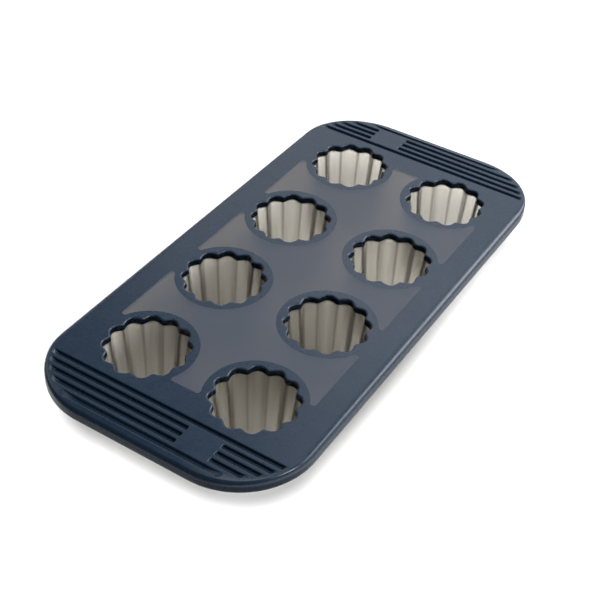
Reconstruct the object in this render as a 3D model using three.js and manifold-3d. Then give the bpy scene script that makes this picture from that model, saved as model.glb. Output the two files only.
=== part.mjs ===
// Silicone canele mould: a firm dark frame that carries eight soft fluted cups and a
// translucent web between them. Millimetres, +Z up, +Y towards the far grip.
// The origin is at the centre of the plane that the cup feet stand on.

import * as THREE from 'three';
import { mergeVertices } from 'three/addons/utils/BufferGeometryUtils.js';
import Module from 'manifold-3d';

// Cup grid
const ROWS = 4;
const PITCH_X = 77.2;
const PITCH_Y = 78.6;

// Fluted cavity, measured on the inside surface
const FLUTES = 12;
const FLUTE_SOFTNESS = 0.3;
const MOUTH_LOBE_RADIUS = 27.1;
const FLUTE_DEPTH = 2.5;
const SIDE_TAPER = 5;
const CUP_DEPTH = 50;
const BASE_ROUND = 3;

// Cup shell
const CUP_WALL = 1.6;
const CUP_FLOOR = 2;
const DOME_RADIUS = 12;
const DOME_RISE = 2.5;
const FLANGE_WIDTH = 2.6;
const FLANGE_THICKNESS = 1.5;

// Frame
const FRAME_THICKNESS = 4;
const RING_WIDTH = 4.3;
const MOUTH_ROUND = 0.9;
const SIDE_BORDER = 18.9;
const CORNER_RADIUS = 49.8;
const RIM_HEIGHT = 9.4;
const RIM_WIDTH = 6;
const RIM_ROUND = 2.3;

// Ribbed grips at both ends, each with a plain pad across its middle grooves
const GROOVES = 5;
const LAST_GROOVE = GROOVES - 1;
const GROOVE_PITCH = 5.85;
const GROOVE_WIDTH = 2.9;
const GROOVE_DEPTH = 2.4;
const GRIP_LAND = 1.7;
const GRIP_EDGE = 7.3;
const GRIP_INSET = 2.8;
const GRIP_RUNOUT = 2.5;
const PAD_WIDTH = 23.5;
const PAD_OFFSET = 32.6;

// Web, lapped under the frame's window edge
const WEB_THICKNESS = 3;
const WEB_LEDGE = 1.5;
const WEB_LAP = 1.2;
const WEB_END_REACH = 15.6;
const WEB_TIP_ROUND = 2;

// Gap left where two silicones are bonded
const BOND_GAP = 0.3;

// Facets
const STEPS_PER_FLUTE = 4;
const CORNER_STEPS = 12;
const RIM_STEPS = 3;
const RING_STEPS = 24;
const TIP_STEPS = 4;

// How far a cutter runs past the face that it cuts
const OVERCUT = 1;

// Worked out from the sizes above
const TOP_Z = CUP_DEPTH + CUP_FLOOR;
const COLUMN_X = PITCH_X / 2;
const ROW_Y = Array.from({ length: ROWS }, (_, row) => (row - (ROWS - 1) / 2) * PITCH_Y);
const LAST_ROW_Y = ROW_Y[ROWS - 1];
const RING_RADIUS = MOUTH_LOBE_RADIUS + RING_WIDTH;
const FIRST_GROOVE_Y = LAST_ROW_Y + RING_RADIUS + GRIP_LAND + GROOVE_WIDTH / 2;
const HALF_WIDTH = COLUMN_X + RING_RADIUS + SIDE_BORDER;
const HALF_LENGTH = FIRST_GROOVE_Y + LAST_GROOVE * GROOVE_PITCH + GRIP_EDGE;
const AROUND = FLUTES * STEPS_PER_FLUTE;

const wasm = await Module();
wasm.setup();

const frameSilicone = { color: 0x333e4c, roughness: 0.5, metalness: 0 };
const webSilicone = { color: 0x77777a, roughness: 0.55, metalness: 0 };
const cupSilicone = { color: 0xb9b4a6, roughness: 0.65, metalness: 0 };

// Solids

function toManifold(geometry) {
  const bare = geometry.index ? geometry.toNonIndexed() : geometry.clone();
  bare.deleteAttribute('normal');
  bare.deleteAttribute('uv');
  const merged = mergeVertices(bare, 1e-4);
  return new wasm.Manifold(new wasm.Mesh({
    numProp: 3,
    vertProperties: Float32Array.from(merged.attributes.position.array),
    triVerts: Uint32Array.from(merged.index.array),
  }));
}

function toGeometry(manifold) {
  const mesh = manifold.getMesh();
  const geometry = new THREE.BufferGeometry();
  geometry.setAttribute('position', new THREE.Float32BufferAttribute(mesh.vertProperties, 3));
  geometry.setIndex(Array.from(mesh.triVerts));
  geometry.computeVertexNormals();
  return geometry;
}

// A closed skin from one end point through a list of equal rings to the other end point.
function loft(startPoint, rings, endPoint) {
  const count = rings[0].length;
  const points = [startPoint, ...rings.flat(), endPoint];
  const end = points.length - 1;
  const at = (ring, step) => 1 + ring * count + (step % count);
  const faces = [];
  for (let step = 0; step < count; step += 1) {
    faces.push(0, at(0, step), at(0, step + 1));
    for (let ring = 0; ring < rings.length - 1; ring += 1) {
      faces.push(at(ring, step), at(ring + 1, step), at(ring, step + 1));
      faces.push(at(ring, step + 1), at(ring + 1, step), at(ring + 1, step + 1));
    }
    faces.push(at(rings.length - 1, step), end, at(rings.length - 1, step + 1));
  }
  const geometry = new THREE.BufferGeometry().setFromPoints(points);
  geometry.setIndex(faces);
  geometry.computeVertexNormals();
  return geometry;
}

function prism(outline, lowZ, highZ) {
  const geometry = new THREE.ExtrudeGeometry(new THREE.Shape(outline), {
    depth: highZ - lowZ,
    bevelEnabled: false,
  });
  return geometry.translate(0, 0, lowZ);
}

// Outlines

function arc(centreX, centreY, radius, from, to, steps) {
  const clockwise = to < from;
  return new THREE.EllipseCurve(centreX, centreY, radius, radius, from, to, clockwise).getPoints(steps);
}

// The tray's outline, drawn in by an inset all round.
function trayOutline(inset) {
  const radius = CORNER_RADIUS - inset;
  const x = HALF_WIDTH - CORNER_RADIUS;
  const y = HALF_LENGTH - CORNER_RADIUS;
  return [[x, y], [-x, y], [-x, -y], [x, -y]].flatMap(([cornerX, cornerY], corner) => {
    const from = corner * Math.PI / 2;
    return arc(cornerX, cornerY, radius, from, from + Math.PI / 2, CORNER_STEPS);
  });
}

// The window between the rings, grown by an offset all round. Each bay of it ends in a
// rounded tip where a ring runs into the border.
function windowOutline(offset) {
  const ring = RING_RADIUS - offset;
  const tip = WEB_TIP_ROUND + offset;
  const tipX = RING_RADIUS - WEB_TIP_ROUND;
  const tipY = 2 * Math.sqrt(RING_RADIUS * WEB_TIP_ROUND);
  const sideAngle = Math.atan2(tipY, tipX);
  const endY = WEB_END_REACH - WEB_TIP_ROUND;
  const endX = -Math.sqrt((RING_RADIUS + WEB_TIP_ROUND) ** 2 - endY ** 2);
  const endAngle = Math.atan2(endY, -endX);
  const turn = 2 * Math.PI;

  const rightHalf = ROW_Y.flatMap((rowY, row) => {
    const first = row === 0;
    const last = row === ROWS - 1;
    const before = first
      ? arc(COLUMN_X + endX, rowY - endY, tip, -Math.PI / 2, endAngle, TIP_STEPS)
      : arc(COLUMN_X + tipX, rowY - tipY, tip, 0, Math.PI - sideAngle, TIP_STEPS);
    const from = first ? Math.PI + endAngle : turn - sideAngle;
    const to = last ? Math.PI - endAngle : sideAngle;
    const round = arc(COLUMN_X, rowY, ring, from, to, Math.ceil(RING_STEPS * (from - to) / turn));
    const after = last
      ? arc(COLUMN_X + endX, rowY + endY, tip, -endAngle, Math.PI / 2, TIP_STEPS)
      : arc(COLUMN_X + tipX, rowY + tipY, tip, Math.PI + sideAngle, turn, TIP_STEPS);
    return [...before, ...round.slice(1, -1), ...after];
  });
  return [...rightHalf, ...rightHalf.map((point) => point.clone().negate())];
}

// Cavity radius by angle: wide round lobes with narrow softened ridges between them.
function fluteRadius(angle, lobeRadius) {
  const wave = Math.hypot(Math.cos(angle * FLUTES / 2), FLUTE_SOFTNESS) - FLUTE_SOFTNESS;
  const crest = Math.hypot(1, FLUTE_SOFTNESS) - FLUTE_SOFTNESS;
  return lobeRadius - FLUTE_DEPTH * (1 - wave / crest);
}

function lobeRadiusAt(depth) {
  return MOUTH_LOBE_RADIUS - SIDE_TAPER * depth / CUP_DEPTH;
}

function roundTrip(radiusAt, z) {
  return Array.from({ length: AROUND }, (_, step) => {
    const angle = 2 * Math.PI * step / AROUND;
    const radius = radiusAt(angle);
    return new THREE.Vector3(radius * Math.cos(angle), radius * Math.sin(angle), z);
  });
}

function flutedRing(lobeRadius, z) {
  return roundTrip((angle) => fluteRadius(angle, lobeRadius), z);
}

function plainRing(radius, z) {
  return roundTrip(() => radius, z);
}

// Pieces

function cupGeometry() {
  const mouthDepth = FRAME_THICKNESS + BOND_GAP;
  const mouthZ = TOP_Z - mouthDepth;
  const flangeZ = mouthZ - FLANGE_THICKNESS;
  const flangeRadius = MOUTH_LOBE_RADIUS + FLANGE_WIDTH;
  const bendDepth = CUP_DEPTH - BASE_ROUND;
  const floorLobe = lobeRadiusAt(CUP_DEPTH) - BASE_ROUND;
  const outsideAt = (depth) => lobeRadiusAt(depth) + CUP_WALL;
  return loft(
    new THREE.Vector3(0, 0, CUP_FLOOR + DOME_RISE),
    [
      plainRing(DOME_RADIUS, CUP_FLOOR),
      flutedRing(floorLobe, CUP_FLOOR),
      flutedRing(lobeRadiusAt(bendDepth), CUP_FLOOR + BASE_ROUND),
      flutedRing(lobeRadiusAt(mouthDepth), mouthZ),
      plainRing(flangeRadius, mouthZ),
      plainRing(flangeRadius, flangeZ),
      flutedRing(outsideAt(TOP_Z - flangeZ), flangeZ),
      flutedRing(outsideAt(bendDepth), CUP_FLOOR + BASE_ROUND),
      flutedRing(floorLobe, 0),
      plainRing(DOME_RADIUS, 0),
    ],
    new THREE.Vector3(0, 0, DOME_RISE),
  );
}

function webGeometry() {
  const panel = prism(windowOutline(-BOND_GAP), TOP_Z - WEB_THICKNESS, TOP_Z);
  const lap = prism(
    windowOutline(WEB_LAP - BOND_GAP),
    TOP_Z - WEB_THICKNESS,
    TOP_Z - WEB_LEDGE - BOND_GAP,
  );
  return toGeometry(toManifold(panel).add(toManifold(lap)));
}

function frameBlank() {
  const blank = new THREE.ExtrudeGeometry(new THREE.Shape(trayOutline(0)), {
    depth: RIM_HEIGHT - 2 * RIM_ROUND,
    bevelEnabled: true,
    bevelThickness: RIM_ROUND,
    bevelSize: RIM_ROUND,
    bevelOffset: -RIM_ROUND,
    bevelSegments: RIM_STEPS,
  });
  blank.translate(0, 0, TOP_Z - RIM_HEIGHT + RIM_ROUND);
  const pocket = prism(trayOutline(RIM_WIDTH), TOP_Z - RIM_HEIGHT - OVERCUT, TOP_Z - FRAME_THICKNESS);
  return toManifold(blank).subtract(toManifold(pocket));
}

function mouthCutter() {
  const highZ = TOP_Z + OVERCUT;
  const lowDepth = FRAME_THICKNESS + OVERCUT;
  const lowZ = TOP_Z - lowDepth;
  return loft(
    new THREE.Vector3(0, 0, highZ),
    [
      flutedRing(lobeRadiusAt(0) + MOUTH_ROUND, highZ),
      flutedRing(lobeRadiusAt(0) + MOUTH_ROUND, TOP_Z),
      flutedRing(lobeRadiusAt(MOUTH_ROUND), TOP_Z - MOUTH_ROUND),
      flutedRing(lobeRadiusAt(lowDepth), lowZ),
    ],
    new THREE.Vector3(0, 0, lowZ),
  );
}

// The room for a grip's grooves, whose floors rise towards the tray's edge.
function gripArea() {
  const highZ = TOP_Z + OVERCUT;
  const lowZ = TOP_Z - GROOVE_DEPTH;
  const ring = (inset, z) => trayOutline(inset).map((point) => new THREE.Vector3(point.x, point.y, z));
  return loft(
    new THREE.Vector3(0, 0, highZ),
    [
      ring(GRIP_INSET, highZ),
      ring(GRIP_INSET, TOP_Z),
      ring(GRIP_INSET + GRIP_RUNOUT, lowZ),
    ],
    new THREE.Vector3(0, 0, lowZ),
  );
}

// One grip's grooves. The first and last run right across; the pad interrupts the others.
function gripCutter() {
  const padLow = PAD_OFFSET - PAD_WIDTH / 2;
  const padHigh = PAD_OFFSET + PAD_WIDTH / 2;
  const area = toManifold(gripArea());
  let cutter = null;
  for (let groove = 0; groove <= LAST_GROOVE; groove += 1) {
    const y = -(FIRST_GROOVE_Y + groove * GROOVE_PITCH);
    const whole = groove === 0 || groove === LAST_GROOVE;
    const runs = whole ? [[-HALF_WIDTH, HALF_WIDTH]] : [[-HALF_WIDTH, padLow], [padHigh, HALF_WIDTH]];
    for (const [lowX, highX] of runs) {
      const box = new THREE.BoxGeometry(highX - lowX, GROOVE_WIDTH, 2 * (GROOVE_DEPTH + OVERCUT));
      box.translate((lowX + highX) / 2, y, TOP_Z);
      const slot = area.intersect(toManifold(box));
      cutter = cutter ? cutter.add(slot) : slot;
    }
  }
  return cutter;
}

function frameGeometry() {
  const belowZ = TOP_Z - FRAME_THICKNESS - OVERCUT;
  let frame = frameBlank();
  frame = frame.subtract(toManifold(prism(windowOutline(0), belowZ, TOP_Z + OVERCUT)));
  frame = frame.subtract(toManifold(prism(windowOutline(WEB_LAP), belowZ, TOP_Z - WEB_LEDGE)));
  const mouth = toManifold(mouthCutter());
  for (const y of ROW_Y) {
    frame = frame.subtract(mouth.translate([-COLUMN_X, y, 0]));
    frame = frame.subtract(mouth.translate([COLUMN_X, y, 0]));
  }
  const grip = gripCutter();
  frame = frame.subtract(grip);
  frame = frame.subtract(grip.rotate([0, 0, 180]));
  return toGeometry(frame);
}

function piece(name, geometry, finish) {
  const mesh = new THREE.Mesh(geometry, new THREE.MeshStandardMaterial(finish));
  mesh.name = name;
  return mesh;
}

const mould = new THREE.Group();
mould.name = 'canele_mould';
mould.add(piece('frame', frameGeometry(), frameSilicone));
mould.add(piece('web', webGeometry(), webSilicone));

const cup = cupGeometry();
for (const [side, x] of [['left', -COLUMN_X], ['right', COLUMN_X]]) {
  ROW_Y.forEach((y, row) => {
    const mesh = piece(`cup_${side}_${row + 1}`, cup, cupSilicone);
    mesh.position.set(x, y, 0);
    mould.add(mesh);
  });
}

export default mould;
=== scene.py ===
"""Looks of the silicone canele mould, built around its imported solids. Metres, +Z up."""

import math

import bmesh
import bpy
from mathutils import Matrix, Vector


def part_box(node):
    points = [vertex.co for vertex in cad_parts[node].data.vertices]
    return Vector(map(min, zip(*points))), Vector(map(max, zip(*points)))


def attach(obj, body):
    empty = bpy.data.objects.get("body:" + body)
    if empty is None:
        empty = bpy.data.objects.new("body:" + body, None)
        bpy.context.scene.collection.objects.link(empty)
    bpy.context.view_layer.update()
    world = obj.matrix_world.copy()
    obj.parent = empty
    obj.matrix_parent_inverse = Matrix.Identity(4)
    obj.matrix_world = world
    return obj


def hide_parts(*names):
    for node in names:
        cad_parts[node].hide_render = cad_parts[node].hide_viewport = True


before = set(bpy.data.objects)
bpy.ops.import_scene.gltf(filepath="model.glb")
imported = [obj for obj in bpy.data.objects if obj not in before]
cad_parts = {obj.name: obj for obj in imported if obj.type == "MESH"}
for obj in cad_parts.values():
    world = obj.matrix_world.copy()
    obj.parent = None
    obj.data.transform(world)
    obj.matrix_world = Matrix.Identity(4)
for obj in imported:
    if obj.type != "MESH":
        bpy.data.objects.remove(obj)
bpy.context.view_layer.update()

MM = 0.001


# Sizes read from the frame

tray_low, tray_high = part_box("frame")
TOP = tray_high.z
RIM_HEIGHT = tray_high.z - tray_low.z
HALF_WIDTH = tray_high.x
HALF_LENGTH = tray_high.y
CUP_NODES = sorted(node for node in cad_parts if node.startswith("cup_"))


def centre_of(node):
    """The middle of a node's box."""
    low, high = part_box(node)
    return (low + high) / 2


RIGHT_CUPS = sorted(
    (centre_of(node) for node in CUP_NODES if "right" in node), key=lambda centre: centre.y
)
COLUMN_X = RIGHT_CUPS[0].x
ROW_Y = [centre.y for centre in RIGHT_CUPS]

# Sizes that are the solids' own, or close to them

FLUTES = 12
FLUTE_SOFTNESS = 0.5
FLUTE_DEPTH = 2.9 * MM
MOUTH_LOBE_RADIUS = 27.1 * MM
SIDE_TAPER = 5 * MM
CUP_DEPTH = 50 * MM
BASE_ROUND = 3 * MM
CUP_WALL = 1.6 * MM
CUP_FLOOR = 2 * MM
DOME_RADIUS = 12 * MM
DOME_RISE = 2.5 * MM
FLANGE_RADIUS = 29.7 * MM
FLANGE_THICKNESS = 1.2 * MM
FRAME_THICKNESS = 4 * MM
RING_RADIUS = 31.4 * MM
MOUTH_ROUND = 1.1 * MM
CORNER_RADIUS = 49.8 * MM
RIM_WIDTH = 6 * MM
RIM_ROUND = 2.3 * MM
LAST_GROOVE = 4
GROOVE_PITCH = 5.85 * MM
GROOVE_WIDTH = 2.9 * MM
GROOVE_DEPTH = 2.2 * MM
GRIP_LAND = 1.7 * MM
GRIP_INSET = 2.5 * MM
GRIP_RUNOUT = 2.5 * MM
PAD_WIDTH = 23.5 * MM
PAD_OFFSET = 32.6 * MM
WEB_THICKNESS = 3 * MM
WEB_LEDGE = 1.5 * MM
WEB_LAP = 1.2 * MM
WEB_END_REACH = 15.6 * MM
WEB_TIP_ROUND = 2 * MM

# Fine sizes that only the looks have

BOND_LINE = 0.02 * MM
SUPPORT = 0.1 * MM
GROOVE_EDGE = 0.75 * MM
LAST_GROOVE_EDGE = 0.9 * MM
LAST_GROOVE_DEPTH = 2.1 * MM
GROOVE_FLOOR_ROUND = 0.6 * MM
GROOVE_CORNER = 0.65 * MM
RIM_INNER_ROUND = 0.8 * MM
END_ROLL_WIDTH = 8 * MM
END_ROLL_DROP = 2.2 * MM
SIDE_ROLL_WIDTH = 5.4 * MM
SIDE_ROLL_DROP = 1.6 * MM
SIDE_ROLL_RUNOUT = 0.35
LEAST_SIDE_SHARE = 0.01
FLANGE_EDGE = 0.4 * MM

# Facets

STEPS_PER_FLUTE = 24
CORNER_STEPS = 32
ROUND_STEPS = 8
RING_STEPS = 96
TIP_STEPS = 10
ROLL_STEPS = 6
DOME_STEPS = 8
WALL_STEPS = 6
AROUND = FLUTES * STEPS_PER_FLUTE
SHARP_ANGLE = math.radians(40)

RIDGE = "ridge"
FIRST_GROOVE_Y = ROW_Y[-1] + RING_RADIUS + GRIP_LAND + GROOVE_WIDTH / 2


# Outlines: lists of (x, y), counter-clockwise

def arc(centre_x, centre_y, radius, start, end, steps):
    """Points along an arc, both ends among them."""
    angles = [start + (end - start) * step / steps for step in range(steps + 1)]
    return [(centre_x + radius * math.cos(a), centre_y + radius * math.sin(a)) for a in angles]


def turned(outline):
    """The outline turned half round the tray's middle."""
    return [(-x, -y) for x, y in outline]


def side_share(lean):
    """1 along the tray's sides, falling to 0 round the corners as the outline leans to the ends."""
    turned_in = min(lean / SIDE_ROLL_RUNOUT, 1)
    return 1 - turned_in ** 2 * (3 - 2 * turned_in)


def tray_outline(inset, roll=0.0):
    """The tray's outline drawn in by an inset, and along its sides further by a roll."""
    x = HALF_WIDTH - CORNER_RADIUS
    y = HALF_LENGTH - CORNER_RADIUS
    points = []
    for corner, (corner_x, corner_y) in enumerate([(x, y), (-x, y), (-x, -y), (x, -y)]):
        for step in range(CORNER_STEPS + 1):
            angle = (corner + step / CORNER_STEPS) * math.pi / 2
            share = max(side_share(abs(math.sin(angle))), LEAST_SIDE_SHARE)
            radius = CORNER_RADIUS - inset - roll * share
            points.append((corner_x + radius * math.cos(angle), corner_y + radius * math.sin(angle)))
    return points


def window_outline(offset):
    """The window between the rings, grown by an offset; its bays end in rounded tips."""
    ring = RING_RADIUS - offset
    tip = WEB_TIP_ROUND + offset
    tip_x = RING_RADIUS - WEB_TIP_ROUND
    tip_y = 2 * math.sqrt(RING_RADIUS * WEB_TIP_ROUND)
    side_angle = math.atan2(tip_y, tip_x)
    end_y = WEB_END_REACH - WEB_TIP_ROUND
    end_x = -math.sqrt((RING_RADIUS + WEB_TIP_ROUND) ** 2 - end_y ** 2)
    end_angle = math.atan2(end_y, -end_x)
    turn = 2 * math.pi
    points = []
    for row, row_y in enumerate(ROW_Y):
        start, end = turn - side_angle, side_angle
        if row == 0:
            start = math.pi + end_angle
            points += arc(COLUMN_X + end_x, row_y - end_y, tip, -math.pi / 2, end_angle, TIP_STEPS)
        else:
            points += arc(COLUMN_X + tip_x, row_y - tip_y, tip, 0, math.pi - side_angle, TIP_STEPS)
        if row == len(ROW_Y) - 1:
            end = math.pi - end_angle
        steps = math.ceil(RING_STEPS * (start - end) / turn)
        points += arc(COLUMN_X, row_y, ring, start, end, steps)[1:-1]
        if row == len(ROW_Y) - 1:
            points += arc(COLUMN_X + end_x, row_y + end_y, tip, -end_angle, math.pi / 2, TIP_STEPS)
        else:
            points += arc(COLUMN_X + tip_x, row_y + tip_y, tip, math.pi + side_angle, turn, TIP_STEPS)
    return points + turned(points)


def rounded_polygon(corners, radius, grow):
    """A convex polygon with rounded corners, grown by an offset."""
    points = []
    for corner, (x, y) in enumerate(corners):
        before = Vector(corners[corner]) - Vector(corners[corner - 1])
        after = Vector(corners[(corner + 1) % len(corners)]) - Vector(corners[corner])
        normal_before = Vector((before.y, -before.x)).normalized()
        normal_after = Vector((after.y, -after.x)).normalized()
        pull = radius / (1 + normal_before.dot(normal_after))
        centre = Vector((x, y)) - (normal_before + normal_after) * pull
        start = math.atan2(normal_before.y, normal_before.x)
        sweep = normal_before.angle(normal_after)
        points += arc(centre.x, centre.y, radius + grow, start, start + sweep, TIP_STEPS)
    return points


def flute_radius(angle, lobe_radius, depth):
    """Cavity radius: wide round lobes with narrow softened ridges between them."""
    wave = math.hypot(math.cos(angle * FLUTES / 2), FLUTE_SOFTNESS) - FLUTE_SOFTNESS
    crest = math.hypot(1, FLUTE_SOFTNESS) - FLUTE_SOFTNESS
    return lobe_radius - depth * (1 - wave / crest)


def fluted_outline(lobe_radius, offset=0.0, depth=FLUTE_DEPTH):
    """A fluted loop round the cup's axis, moved out square to itself by an offset."""
    points = []
    step = 2 * math.pi / AROUND
    nudge = step / 8
    for index in range(AROUND):
        angle = index * step
        radius = flute_radius(angle, lobe_radius, depth)
        slope = (
            flute_radius(angle + nudge, lobe_radius, depth)
            - flute_radius(angle - nudge, lobe_radius, depth)
        ) / (2 * nudge)
        out = Vector((radius, -slope)).normalized()
        along, across = radius + out.x * offset, out.y * offset
        points.append((
            along * math.cos(angle) - across * math.sin(angle),
            along * math.sin(angle) + across * math.cos(angle),
        ))
    return points


def plain_outline(radius):
    """A round loop with as many points as a fluted one."""
    return fluted_outline(radius, depth=0.0)


def lobe_radius_at(depth):
    """The tapered cavity's lobe radius at a depth below the top face."""
    return MOUTH_LOBE_RADIUS - SIDE_TAPER * depth / CUP_DEPTH


def moved(outline, centre):
    """The outline moved from the middle to a centre."""
    return [(x + centre.x, y + centre.y) for x, y in outline]


def quarter_round(radius):
    """(offset, drop) along a quarter round, from its flat start to its upright end."""
    angles = [math.pi / 2 * step / ROUND_STEPS for step in range(ROUND_STEPS + 1)]
    return [(radius * (1 - math.sin(a)), radius * (1 - math.cos(a))) for a in angles]


# Meshes

def show(thing):
    """Puts an object into the scene."""
    bpy.context.scene.collection.objects.link(thing)
    return thing


class Skin:
    """Rings of points joined into one closed mesh."""

    def __init__(self):
        self.mesh = bmesh.new()

    def stack(self, loops):
        """Joins (outline, z) loops of equal count by bands, and returns the first and last ring."""
        rings = [[self.mesh.verts.new((x, y, z)) for x, y in outline] for outline, z in loops]
        for low, high in zip(rings, rings[1:]):
            for index in range(len(low)):
                self.mesh.faces.new((low[index - 1], low[index], high[index], high[index - 1]))
        return rings[0], rings[-1]

    def fill(self, rings):
        """Fills the flat area between closed rings."""
        pairs = [(ring[index - 1], ring[index]) for ring in rings for index in range(len(ring))]
        edges = [self.mesh.edges.get(pair) for pair in pairs]
        bmesh.ops.triangle_fill(self.mesh, use_beauty=True, edges=edges, normal=(0, 0, 1))

    def close(self, ring, point):
        """Closes a ring with a fan to one point."""
        tip = self.mesh.verts.new(point)
        for index in range(len(ring)):
            self.mesh.faces.new((ring[index - 1], ring[index], tip))

    def cover(self, ring):
        """Closes a flat ring with one face."""
        self.mesh.faces.new(ring)

    def piece(self, name, material, nodes):
        """Makes the object, which stands for its CAD nodes."""
        bmesh.ops.recalc_face_normals(self.mesh, faces=self.mesh.faces)
        data = bpy.data.meshes.new(name)
        self.mesh.to_mesh(data)
        self.mesh.free()
        data.polygons.foreach_set("use_smooth", [True] * len(data.polygons))
        data.set_sharp_from_angle(angle=SHARP_ANGLE)
        data.materials.append(material)
        made = show(bpy.data.objects.new(name, data))
        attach(made, "root")
        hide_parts(*nodes)
        return made


def rim_loops():
    """The rim from the top face, round its outside and underneath to the underside."""
    outside = quarter_round(RIM_ROUND)
    inside = quarter_round(RIM_INNER_ROUND)
    flat_inset = RIM_ROUND + SUPPORT
    roll_width = SIDE_ROLL_WIDTH - flat_inset
    rolls = [roll_width * (1 - step / ROLL_STEPS) for step in range(ROLL_STEPS)]
    loops = [(tray_outline(flat_inset, roll), TOP) for roll in rolls]
    profile = [(flat_inset, 0.0)]
    profile += outside
    profile += [(inset, RIM_HEIGHT - drop) for inset, drop in reversed(outside)]
    profile += [(RIM_WIDTH - inset, RIM_HEIGHT - drop) for inset, drop in inside]
    profile += [(RIM_WIDTH, FRAME_THICKNESS), (RIM_WIDTH + SUPPORT, FRAME_THICKNESS)]
    return loops + [(tray_outline(inset), TOP - drop) for inset, drop in profile]


def mouth_loops(centre):
    """A ring collar's fluted inside, from the top face to the underside."""
    profile = [(MOUTH_ROUND + SUPPORT, 0.0)]
    profile += quarter_round(MOUTH_ROUND)
    profile += [(0.0, FRAME_THICKNESS), (SUPPORT, FRAME_THICKNESS)]
    return [
        (moved(fluted_outline(lobe_radius_at(drop), offset), centre), TOP - drop)
        for offset, drop in profile
    ]


def window_loops():
    """The window's edge, with the ledge that the web is lapped under."""
    profile = [
        (SUPPORT, 0.0),
        (0.0, 0.0),
        (0.0, WEB_LEDGE),
        (WEB_LAP, WEB_LEDGE),
        (WEB_LAP, FRAME_THICKNESS),
        (WEB_LAP + SUPPORT, FRAME_THICKNESS),
    ]
    return [(window_outline(offset), TOP - drop) for offset, drop in profile]


def grip_reach(y, inset):
    """How far from the middle the outline, drawn in by an inset, lies at a given y."""
    past_corner = y - (HALF_LENGTH - CORNER_RADIUS)
    radius = CORNER_RADIUS - inset
    return HALF_WIDTH - CORNER_RADIUS + math.sqrt(max(radius ** 2 - past_corner ** 2, 0))


def groove_slots(groove, inset):
    """Corners of a front groove's slots, held in from the outline; the pad splits the inner ones."""
    near_y = FIRST_GROOVE_Y + groove * GROOVE_PITCH - GROOVE_WIDTH / 2
    far_y = near_y + GROOVE_WIDTH
    far = grip_reach(far_y, inset)
    near = min(grip_reach(near_y, inset), far + GROOVE_WIDTH)
    if groove in (0, LAST_GROOVE):
        return [[(-far, -far_y), (far, -far_y), (near, -near_y), (-near, -near_y)]]
    left, right = PAD_OFFSET - PAD_WIDTH / 2, PAD_OFFSET + PAD_WIDTH / 2
    return [
        [(-far, -far_y), (left, -far_y), (left, -near_y), (-near, -near_y)],
        [(right, -far_y), (far, -far_y), (near, -near_y), (right, -near_y)],
    ]


def groove_profile(groove):
    """(offset, drop) from the top face, over the rounded edge, down the wall and round to the floor."""
    edge, depth = GROOVE_EDGE, GROOVE_DEPTH
    if groove == LAST_GROOVE:
        edge, depth = LAST_GROOVE_EDGE, LAST_GROOVE_DEPTH
    floor_round = min(GROOVE_FLOOR_ROUND, depth - edge)
    wall = depth - floor_round - edge
    profile = [(edge + SUPPORT, 0.0)]
    profile += quarter_round(edge)
    profile += [(0.0, edge + wall * step / WALL_STEPS) for step in range(1, WALL_STEPS)]
    profile += [(-drop, depth - offset) for offset, drop in quarter_round(floor_round)]
    return profile


def groove_stacks(groove):
    """The loops of a front groove's slots; their floors rise towards the tray's edge."""
    profile = groove_profile(groove)
    clearance = GRIP_INSET + profile[0][0]
    stacks = []
    for slot in range(len(groove_slots(groove, clearance))):
        loops = []
        for offset, drop in profile:
            corners = groove_slots(groove, clearance + GRIP_RUNOUT * drop / GROOVE_DEPTH)[slot]
            loops.append((rounded_polygon(corners, GROOVE_CORNER, offset), TOP - drop))
        stacks.append(loops)
    return stacks


def rim_roll(point):
    """How far the tray's edge rolls down at a point: along its sides, and beyond the last grooves."""
    past_x = max(abs(point.x) - (HALF_WIDTH - CORNER_RADIUS), 0)
    past_y = max(abs(point.y) - (HALF_LENGTH - CORNER_RADIUS), 0)
    reach = math.hypot(past_x, past_y)
    inset = CORNER_RADIUS - reach
    lean = past_y / max(reach, MM)
    side = SIDE_ROLL_DROP * max(1 - inset / SIDE_ROLL_WIDTH, 0) ** 2 * side_share(lean)
    end = END_ROLL_DROP * max(1 - inset / END_ROLL_WIDTH, 0) ** 2 * lean ** 4
    height = (point.z - TOP + RIM_HEIGHT) / RIM_HEIGHT
    return (side + end) * height


def make_frame(material):
    """The dark frame: rim, window, mouths and grooved grips."""
    skin = Skin()
    top_rings, under_rings = [], []
    mouths = [mouth_loops(centre_of(node)) for node in CUP_NODES]
    for loops in [rim_loops(), window_loops()] + mouths:
        top, under = skin.stack(loops)
        top_rings.append(top)
        under_rings.append(under)
    for groove in range(LAST_GROOVE + 1):
        for loops in groove_stacks(groove):
            for both in (loops, [(turned(outline), z) for outline, z in loops]):
                top, floor = skin.stack(both)
                top_rings.append(top)
                skin.cover(floor)
    skin.fill(top_rings)
    skin.fill(under_rings)
    for vertex in skin.mesh.verts:
        vertex.co.z -= rim_roll(vertex.co)
    return skin.piece("frame_moulding", material, ["frame"])


def make_web(material):
    """The sheet in the window, lapped under the window's edge."""
    profile = [
        (-BOND_LINE - SUPPORT, 0.0),
        (-BOND_LINE, 0.0),
        (-BOND_LINE, WEB_LEDGE + BOND_LINE),
        (WEB_LAP - BOND_LINE, WEB_LEDGE + BOND_LINE),
        (WEB_LAP - BOND_LINE, WEB_THICKNESS),
        (WEB_LAP - BOND_LINE - SUPPORT, WEB_THICKNESS),
    ]
    skin = Skin()
    top, under = skin.stack([(window_outline(offset), TOP - drop) for offset, drop in profile])
    skin.fill([top])
    skin.fill([under])
    return skin.piece("web_sheet", material, ["web"])


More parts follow.
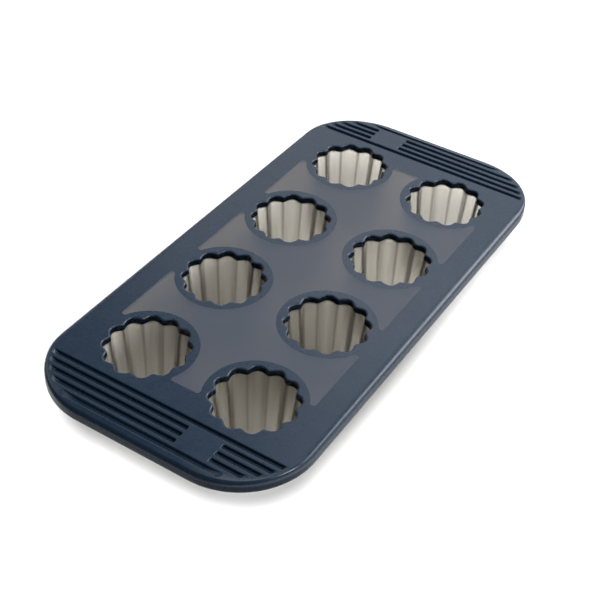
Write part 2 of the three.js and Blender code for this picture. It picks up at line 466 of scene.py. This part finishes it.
def cup_loops():
    """The cup's skin round its own axis: up the inside, over the flange, down the outside."""
    mouth_depth = FRAME_THICKNESS + BOND_LINE
    mouth_z = TOP - mouth_depth
    flange_z = mouth_z - FLANGE_THICKNESS
    floor_lobe = lobe_radius_at(CUP_DEPTH) - BASE_ROUND
    loops = []

    def dome(base_z):
        for step in range(1, DOME_STEPS + 1):
            share = step / DOME_STEPS
            rise = DOME_RISE * (1 + math.cos(math.pi * share)) / 2
            yield plain_outline(DOME_RADIUS * share), base_z + rise

    loops += dome(CUP_FLOOR)
    loops.append((fluted_outline(floor_lobe - SUPPORT), CUP_FLOOR))
    for offset, drop in quarter_round(BASE_ROUND):
        loops.append((
            fluted_outline(lobe_radius_at(CUP_DEPTH - drop), -offset),
            CUP_FLOOR + drop,
        ))
    loops.append((fluted_outline(lobe_radius_at(mouth_depth)), mouth_z))
    loops.append((plain_outline(FLANGE_RADIUS - FLANGE_EDGE), mouth_z))
    for inset, drop in quarter_round(FLANGE_EDGE)[1:]:
        loops.append((plain_outline(FLANGE_RADIUS - inset), mouth_z - drop))
    loops.append((plain_outline(FLANGE_RADIUS), flange_z))
    loops.append((fluted_outline(lobe_radius_at(TOP - flange_z) + CUP_WALL), flange_z))
    outside_base = BASE_ROUND + CUP_WALL
    for offset, drop in reversed(quarter_round(outside_base)):
        loops.append((
            fluted_outline(lobe_radius_at(TOP - drop) + CUP_WALL, -offset),
            drop,
        ))
    loops.append((fluted_outline(floor_lobe - SUPPORT), 0.0))
    loops += reversed(list(dome(0.0)))
    return loops


def make_cup(node, material):
    """A cup, with its ridges marked: 1 along a ridge, -1 along a lobe, and 0 on the floor."""
    centre = centre_of(node)
    skin = Skin()
    first, last = skin.stack([(moved(outline, centre), z) for outline, z in cup_loops()])
    skin.close(first, (centre.x, centre.y, CUP_FLOOR + DOME_RISE))
    skin.close(last, (centre.x, centre.y, DOME_RISE))
    made = skin.piece(node + "_moulding", material, [node])
    marks = []
    for index, vertex in enumerate(made.data.vertices):
        upright = min(max((vertex.co.z - CUP_FLOOR) / BASE_ROUND, 0), 1)
        marks.append(-upright * math.cos(2 * math.pi * index / STEPS_PER_FLUTE))
    ridge = made.data.attributes.new(RIDGE, "FLOAT", "POINT")
    ridge.data.foreach_set("value", marks)
    return made


# Materials

NOISE_LOW, NOISE_HIGH = 0.3, 0.7


def give(tree, socket, value):
    """Gives a socket a value, or links it to another node's output."""
    if isinstance(value, bpy.types.NodeSocket):
        tree.links.new(value, socket)
    else:
        socket.default_value = value


def feed(tree, node, **inputs):
    """Gives a node's inputs their values by name."""
    for name, value in inputs.items():
        give(tree, node.inputs[name.replace("_", " ")], value)


def add_node(tree, kind, **inputs):
    """A new node with some of its inputs given by name."""
    made = tree.nodes.new(kind)
    feed(tree, made, **inputs)
    return made


def new_material(name):
    """A material with its node tree, its main shader and its output."""
    material = bpy.data.materials.new(name)
    material.use_nodes = True
    tree = material.node_tree
    return material, tree, tree.nodes["Principled BSDF"], tree.nodes["Material Output"]


def calculate(tree, operation, *values):
    """A math node's result; each value is a number or a node's output."""
    made = tree.nodes.new("ShaderNodeMath")
    made.operation = operation
    for socket, value in zip(made.inputs, values):
        give(tree, socket, value)
    return made.outputs["Value"]


def parts_of(tree, vector):
    """A vector's X, Y and Z."""
    return add_node(tree, "ShaderNodeSeparateXYZ", Vector=vector).outputs


def between(tree, value, start, end, low=0.0, high=1.0, smooth=False):
    """A value that goes from low to high, and no further, as another goes from start to end."""
    made = add_node(
        tree, "ShaderNodeMapRange",
        Value=value, From_Min=start, From_Max=end, To_Min=low, To_Max=high,
    )
    if smooth:
        made.interpolation_type = "SMOOTHSTEP"
    return made.outputs["Result"]


def fade(tree, value, start, end):
    """A smooth rise from 0 to 1 as a value goes from start to end."""
    return between(tree, value, start, end, smooth=True)


def noise(tree, scale):
    """Noise in the object's own coordinates; a scale of 1000 has features of about 1 mm."""
    place = tree.nodes.new("ShaderNodeTexCoord").outputs["Object"]
    return add_node(tree, "ShaderNodeTexNoise", Vector=place, Scale=scale, Detail=2.0).outputs["Fac"]


def span(tree, scale, low, high):
    """A value that varies between two by noise of a scale."""
    return between(tree, noise(tree, scale), NOISE_LOW, NOISE_HIGH, low, high)


def ramp(tree, scale, low, high):
    """A colour that varies between two by noise of a scale."""
    made = add_node(tree, "ShaderNodeValToRGB", Fac=noise(tree, scale))
    first, last = made.color_ramp.elements
    first.position, last.position = NOISE_LOW, NOISE_HIGH
    first.color, last.color = (*low, 1), (*high, 1)
    return made.outputs["Color"]


def shade(tree, colour, factor, depth):
    """A colour darkened by a depth where a factor is 1."""
    kept = calculate(tree, "MULTIPLY_ADD", factor, -depth, 1.0)
    made = tree.nodes.new("ShaderNodeVectorMath")
    made.operation = "SCALE"
    feed(tree, made, Vector=colour, Scale=kept)
    return made.outputs["Vector"]


def grain(tree, shader, scale, strength, distance):
    """A fine moulded grain on a shader."""
    bump = add_node(
        tree, "ShaderNodeBump", Height=noise(tree, scale), Strength=strength, Distance=distance
    )
    feed(tree, shader, Normal=bump.outputs["Normal"])


def mix(tree, output, first, second, factor):
    """Sends a material's output from one shader to another as a factor goes from 0 to 1."""
    mixed = add_node(tree, "ShaderNodeMixShader", Fac=factor)
    tree.links.new(first.outputs[0], mixed.inputs[1])
    tree.links.new(second.outputs[0], mixed.inputs[2])
    feed(tree, output, Surface=mixed.outputs["Shader"])


def side_faces(tree):
    """Two masks of the frame's upright faces, which carry painted shade: the mouths' walls, and the rim
    below its rounded edge.
    """
    normal = parts_of(tree, tree.nodes.new("ShaderNodeNewGeometry").outputs["Normal"])
    place = parts_of(tree, tree.nodes.new("ShaderNodeTexCoord").outputs["Object"])
    from_middle_x = calculate(tree, "ABSOLUTE", place["X"])
    from_middle_y = calculate(tree, "ABSOLUTE", place["Y"])
    within_x = calculate(tree, "LESS_THAN", from_middle_x, COLUMN_X + RING_RADIUS)
    within_y = calculate(tree, "LESS_THAN", from_middle_y, ROW_Y[-1] + RING_RADIUS)
    inside = calculate(tree, "MULTIPLY", within_x, within_y)
    upright = fade(tree, normal["Z"], start=0.55, end=0.2)
    low = fade(tree, place["Z"], start=TOP - RIM_ROUND, end=TOP - 2 * RIM_ROUND)
    return calculate(tree, "MULTIPLY", upright, inside), calculate(tree, "MULTIPLY", upright, low)


def frame_silicone():
    """Opaque blue-grey silicone, satin on top, more matt on its sides, with painted shade on the
    mouths' walls and the rim's lower side.
    """
    material, tree, shader, _ = new_material("frame_silicone")
    mouths, rim = side_faces(tree)
    colour = ramp(tree, scale=90, low=(0.012, 0.028, 0.054), high=(0.015, 0.032, 0.060))
    # Painted shade: the rim's upright lower side is darkened by 0.3 and the mouths' walls by 0.7.
    colour = shade(tree, colour, rim, depth=0.3)
    colour = shade(tree, colour, mouths, depth=0.7)
    top_gloss, side_gloss = 0.5, 0.1
    sides = calculate(tree, "MAXIMUM", mouths, rim)
    feed(
        tree, shader,
        Base_Color=colour,
        Specular_IOR_Level=calculate(tree, "MULTIPLY_ADD", sides, side_gloss - top_gloss, top_gloss),
        Roughness=span(tree, scale=240, low=0.25, high=0.31),
        IOR=1.43,
    )
    grain(tree, shader, scale=2600, strength=0.05, distance=0.04 * MM)
    return material


def web_silicone():
    """Smoky silicone: a bluish haze from above, and warm where light comes through it."""
    material, tree, shader, output = new_material("web_silicone")
    feed(
        tree, shader,
        Base_Color=ramp(tree, scale=60, low=(0.101, 0.126, 0.176), high=(0.107, 0.132, 0.184)),
        Roughness=span(tree, scale=240, low=0.40, high=0.48),
        IOR=1.41,
    )
    grain(tree, shader, scale=2600, strength=0.05, distance=0.04 * MM)
    through = add_node(
        tree, "ShaderNodeBsdfRefraction", Color=(0.78, 0.70, 0.54, 1), Roughness=0.5, IOR=1.35
    )
    mix(tree, output, shader, through, factor=0.42)
    return material


def cup_silicone():
    """Beige silicone that lets light through its thin wall; along its ridges, painted shade darkens it
    and lets less light through.
    """
    material, tree, shader, output = new_material("cup_silicone")
    ridge = tree.nodes.new("ShaderNodeAttribute")
    ridge.attribute_name = RIDGE
    # Painted shade along the ridges: the colour is darkened there, and less light goes through.
    shaded_ridge = fade(tree, ridge.outputs["Fac"], start=0.8, end=1.0)
    colour = ramp(tree, scale=120, low=(0.40, 0.38, 0.33), high=(0.44, 0.42, 0.37))
    feed(
        tree, shader,
        Base_Color=shade(tree, colour, shaded_ridge, depth=0.35),
        Roughness=span(tree, scale=300, low=0.55, high=0.65),
        IOR=1.41,
    )
    grain(tree, shader, scale=1800, strength=0.12, distance=0.05 * MM)
    through = add_node(
        tree, "ShaderNodeBsdfRefraction", Color=(0.937, 0.915, 0.865, 1), Roughness=0.42, IOR=1.6
    )
    slant = add_node(tree, "ShaderNodeLayerWeight", Blend=0.5).outputs["Facing"]
    clear = between(tree, slant, start=0.4, end=0.75, low=0.82, high=0.15)
    ridge_shade_depth = 0.3
    kept = calculate(tree, "MULTIPLY_ADD", shaded_ridge, -ridge_shade_depth, 1.0)
    mix(tree, output, shader, through, factor=calculate(tree, "MULTIPLY", clear, kept))
    return material


# Stage

SPOT_HEIGHT = 1.0
SPOT_RADIUS = 0.05


def make_floor():
    """A wide floor: white with the object's shadow as it is seen, and dim as a source of light."""
    half = 4.0
    corners = [(-half, -half, 0), (half, -half, 0), (half, half, 0), (-half, half, 0)]
    data = bpy.data.meshes.new("floor")
    data.from_pydata(corners, [], [(0, 1, 2, 3)])
    material, tree, dim, output = new_material("floor_paper")
    feed(tree, dim, Base_Color=(0.30, 0.30, 0.30, 1), Roughness=0.9)
    paper = add_node(tree, "ShaderNodeBsdfDiffuse", Color=(0.8, 0.8, 0.8, 1))
    lift = add_node(tree, "ShaderNodeEmission", Color=(1, 1, 1, 1), Strength=0.06)
    pale = tree.nodes.new("ShaderNodeAddShader")
    tree.links.new(paper.outputs["BSDF"], pale.inputs[0])
    tree.links.new(lift.outputs["Emission"], pale.inputs[1])
    path = tree.nodes.new("ShaderNodeLightPath").outputs
    seen = calculate(tree, "MAXIMUM", path["Is Camera Ray"], path["Is Glossy Ray"])
    seen = calculate(tree, "MAXIMUM", seen, path["Is Transmission Ray"])
    mix(tree, output, dim, pale, factor=seen)
    data.materials.append(material)
    floor = show(bpy.data.objects.new("floor", data))
    return floor


def make_world(ambient, backdrop):
    """A studio that is white as it is seen, and lights with a pale backdrop low behind the tray."""
    world = bpy.data.worlds.new("studio")
    bpy.context.scene.world = world
    world.use_nodes = True
    tree = world.node_tree
    place = parts_of(tree, tree.nodes.new("ShaderNodeTexCoord").outputs["Generated"])
    behind = fade(tree, place["Y"], start=-0.1, end=0.9)
    low = fade(tree, place["Z"], start=0.8, end=0.1)
    both = calculate(tree, "MULTIPLY", behind, low)
    level = calculate(tree, "MULTIPLY_ADD", both, backdrop, ambient)
    path = tree.nodes.new("ShaderNodeLightPath").outputs
    seen = calculate(tree, "MAXIMUM", level, path["Is Camera Ray"])
    feed(tree, tree.nodes["Background"], Color=(1, 1, 1, 1), Strength=seen)


def aim(place, target):
    """A rotation that looks from a place to a target."""
    return (Vector(target) - Vector(place)).to_track_quat("-Z", "Y")


def place_lamp(data, place, target):
    """Puts a lamp at a place, turned to a target."""
    lamp = bpy.data.objects.new(data.name, data)
    lamp.location = place
    lamp.rotation_mode = "QUATERNION"
    lamp.rotation_quaternion = aim(place, target)
    return show(lamp)


def make_softbox(name, place, target, size, level):
    """A square-on soft lamp; a white face turned to it at the target shows the level."""
    distance = (Vector(target) - Vector(place)).length
    data = bpy.data.lights.new(name, "AREA")
    data.shape = "RECTANGLE"
    data.size, data.size_y = size
    data.energy = level * math.pi ** 2 * distance ** 2
    return place_lamp(data, place, target)


def make_floor_spot(name, x, y, angle, level):
    """A round spot straight down to the floor; its middle shows the level, and its edge fades."""
    data = bpy.data.lights.new(name, "SPOT")
    data.spot_size = math.radians(angle)
    data.spot_blend = 1.0
    data.shadow_soft_size = SPOT_RADIUS
    data.energy = 4 * level * math.pi ** 2 * SPOT_HEIGHT ** 2
    return place_lamp(data, (x, y, SPOT_HEIGHT), (x, y, 0))


def make_sun(name, azimuth, elevation, angle, level):
    """An even light from far away; a white floor under it shows the level."""
    data = bpy.data.lights.new(name, "SUN")
    data.angle = math.radians(angle)
    data.energy = level * math.pi / math.sin(math.radians(elevation))
    lamp = bpy.data.objects.new(name, data)
    lamp.rotation_euler = (math.radians(90 - elevation), 0, math.radians(azimuth + 90))
    return show(lamp)


def light_only(lamp, things, shadows=True):
    """Keeps a lamp's light to some things; without shadows, nothing else stands in its way."""
    only = bpy.data.collections.new(lamp.name + "_receivers")
    for thing in things:
        only.objects.link(thing)
    lamp.light_linking.receiver_collection = only
    if not shadows:
        lamp.light_linking.blocker_collection = only


def make_camera():
    """The photograph's view: where the lens stands, the point it looks at and its small roll."""
    place = Vector((0.3005, -0.5204, TOP + 0.4824))
    target = Vector((0.0131, -0.0303, TOP))
    roll = Matrix.Rotation(math.radians(3.23), 4, "Z")
    data = bpy.data.cameras.new("camera")
    data.sensor_width = 36
    data.lens = 71.56
    camera = bpy.data.objects.new("camera", data)
    camera.matrix_world = Matrix.Translation(place) @ aim(place, target).to_matrix().to_4x4() @ roll
    bpy.context.scene.camera = show(camera)


make_camera()
cup_material = cup_silicone()
moulding = make_frame(frame_silicone())
sheet = make_web(web_silicone())
cups = [make_cup(node, cup_material) for node in CUP_NODES]
floor = make_floor()
make_world(ambient=0.03, backdrop=0.94)

middle = (0, 0, TOP)
front_middle = (0, -0.05, TOP)
tray_lamps = [
    make_softbox("overhead", (0, -0.05, 0.75), front_middle, size=(0.35, 0.35), level=0.24),
    make_softbox("over_far", (-0.1, 0.5, 0.7), middle, size=(0.4, 0.4), level=0.09),
    make_softbox("right_back", (0.55, 0.80, 0.62), middle, size=(0.75, 0.55), level=0.8),
    make_softbox("left", (-0.8, 0.0, 0.6), middle, size=(0.5, 0.5), level=0.10),
    make_softbox("back_left", (-0.42, 0.95, 0.74), middle, size=(0.9, 0.5), level=0.09),
]
for lamp in tray_lamps:
    light_only(lamp, [moulding, sheet] + cups)
right_lamp = make_softbox("right", (0.85, 0.0, 0.80), middle, size=(0.3, 0.3), level=0.55)
light_only(right_lamp, [moulding, sheet])

floor_suns = [
    make_sun("floor_front", azimuth=-60, elevation=59, angle=14, level=0.97),
    make_sun("floor_right", azimuth=0, elevation=38, angle=20, level=0.22),
    make_sun("floor_left", azimuth=180, elevation=32, angle=20, level=0.06),
    make_sun("floor_back", azimuth=90, elevation=32, angle=20, level=0.12),
]
for lamp in floor_suns:
    light_only(lamp, [floor])
floor_spots = [
    make_floor_spot("floor_glow", x=-0.01, y=0.13, angle=19, level=0.58),
    make_floor_spot("floor_fill", x=0.0, y=-0.20, angle=15.6, level=0.50),
    make_floor_spot("floor_side", x=0.115, y=-0.09, angle=10, level=0.26),
]
for lamp in floor_spots:
    light_only(lamp, [floor], shadows=False)
bpy.context.scene.view_settings.view_transform = "Standard"
